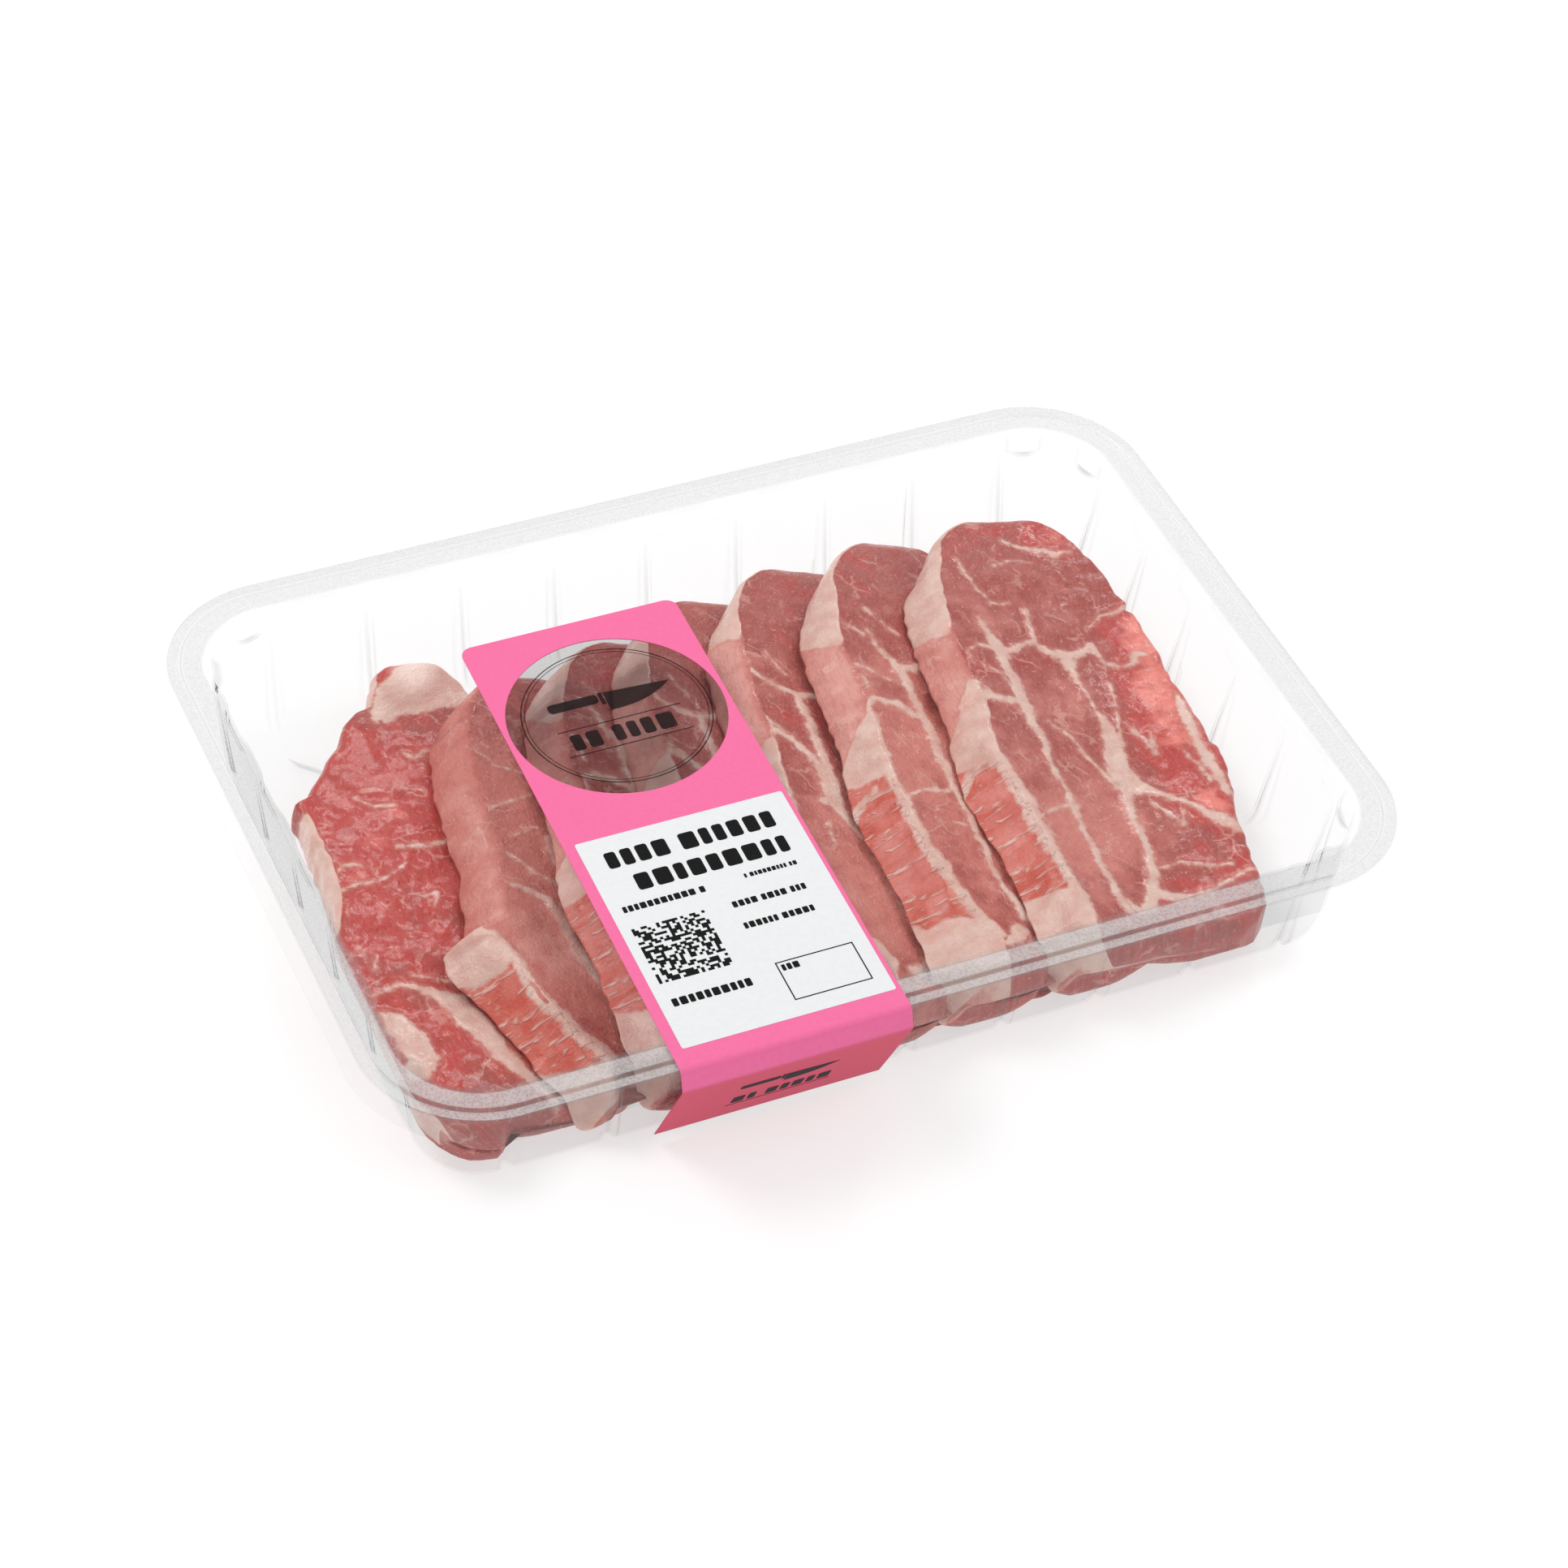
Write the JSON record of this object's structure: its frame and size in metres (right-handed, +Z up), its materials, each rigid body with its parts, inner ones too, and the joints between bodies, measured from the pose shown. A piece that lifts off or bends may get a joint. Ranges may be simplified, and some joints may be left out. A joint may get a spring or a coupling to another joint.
{
  "type": "sealed tray of raw pork neck steaks",
  "caption": "Clear sealed retail tray of shingled raw pork neck steaks, with a ribbed thermoformed wall, a stiff textured rim, a welded film lid and a band label folded down the front.",
  "frame": {"origin": "centre of the underside of the tray's floor", "axes": "+X along the tray's long side, left to right as the label is read; +Y from the front, where the label folds down, to the back; +Z up through the film"},
  "size_m": [0.26, 0.1876, 0.0363],
  "materials": {
    "clear_tray": "clear thermoformed sheet, glossy, with a fine textured rim",
    "lid_film": "taut clear film, glossy",
    "label_paper": "satin coated label stock, printed pink with a white panel",
    "label_window": "smoky clear window in the label",
    "raw_pork": null
  },
  "bodies": {
    "root": {"tray": "clear_tray", "lid_film": "lid_film", "label_band": "label_paper", "label_window": "label_window", "steak_1": "raw_pork", "steak_2": "raw_pork", "steak_3": "raw_pork", "steak_4": "raw_pork", "steak_5": "raw_pork", "steak_6": "raw_pork", "steak_7": "raw_pork"}
  },
  "joints": []
}
